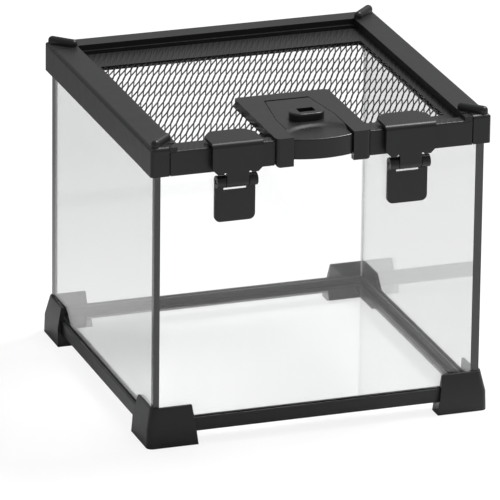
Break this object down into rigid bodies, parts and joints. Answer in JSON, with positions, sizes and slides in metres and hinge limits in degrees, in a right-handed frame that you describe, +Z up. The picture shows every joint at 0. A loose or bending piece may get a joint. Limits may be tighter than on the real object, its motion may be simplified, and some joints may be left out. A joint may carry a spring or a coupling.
{
  "type": "glass reptile terrarium",
  "caption": "Glass tank with corner feet, a rear-hinged mesh lid, a feeding hatch with a slide knob, and flip latches at the front",
  "frame": {"origin": "centre of the bounding box on the floor, under the feet", "axes": "+Z up; -Y is the front with the latches; +X is to the right seen from the front"},
  "size_m": [0.2028, 0.1998, 0.1813],
  "materials": {
    "frame_plastic": "satin moulded black plastic",
    "foot_plastic": "satin moulded black plastic",
    "latch_plastic": "satin moulded black plastic",
    "knob_plastic": "satin moulded black plastic with a softened edge",
    "glass": "clear polished float glass",
    "mesh_wire": "dark coated expanded metal",
    "black_seal": "dark grey sealant",
    "clear_seal": "translucent sealant",
    "pin_steel": "plain drawn steel"
  },
  "bodies": {
    "tank": {"foot_front_left": "foot_plastic", "foot_front_right": "foot_plastic", "foot_back_left": "foot_plastic", "foot_back_right": "foot_plastic", "bottom_rail_front": "frame_plastic", "bottom_rail_back": "frame_plastic", "bottom_rail_left": "frame_plastic", "bottom_rail_right": "frame_plastic", "base_glass": "glass", "front_glass": "glass", "back_glass": "glass", "left_glass": "glass", "right_glass": "glass", "seal_front_left": "black_seal", "seal_front_right": "black_seal", "seal_back_left": "black_seal", "seal_back_right": "clear_seal", "top_corner_front_left": "frame_plastic", "top_corner_front_right": "frame_plastic", "top_corner_back_left": "frame_plastic", "top_corner_back_right": "frame_plastic", "top_rail_left": "frame_plastic", "top_rail_right": "frame_plastic", "top_rail_back": "frame_plastic", "top_rail_front": "frame_plastic", "lid_hinge_pins": "pin_steel"},
    "lid": {"lid_frame": "frame_plastic", "mesh_screen": "mesh_wire", "hatch_housing": "frame_plastic", "latch_bracket_left": "latch_plastic", "latch_bracket_right": "latch_plastic", "latch_pin_left": "pin_steel", "latch_pin_right": "pin_steel", "door_pins": "pin_steel"},
    "hatch": {"hatch_door": "frame_plastic"},
    "slide": {"slide_knob": "knob_plastic", "slide_keeper": "frame_plastic"},
    "lever_left": {"latch_lever_left": "latch_plastic"},
    "lever_right": {"latch_lever_right": "latch_plastic"}
  },
  "joints": [
    {"name": "lid_hinge", "type": "hinge", "parent": "tank", "child": "lid", "pos_m": [0, 0.08163, 0.1707], "axis": [-1, 0, 0], "range_deg": [0, 100]},
    {"name": "hatch_hinge", "type": "hinge", "parent": "lid", "child": "hatch", "pos_m": [0, -0.03592, 0.1748], "axis": [-1, 0, 0], "range_deg": [0, 95]},
    {"name": "knob_slide", "type": "slide", "parent": "hatch", "child": "slide", "axis": [0, 1, 0], "range_m": [0, 0.004]},
    {"name": "lever_left_hinge", "type": "hinge", "parent": "lid", "child": "lever_left", "pos_m": [-0.0508, -0.09632, 0.15455], "axis": [-1, 0, 0], "range_deg": [0, 110]},
    {"name": "lever_right_hinge", "type": "hinge", "parent": "lid", "child": "lever_right", "pos_m": [0.0508, -0.09632, 0.15455], "axis": [-1, 0, 0], "range_deg": [0, 110]}
  ]
}
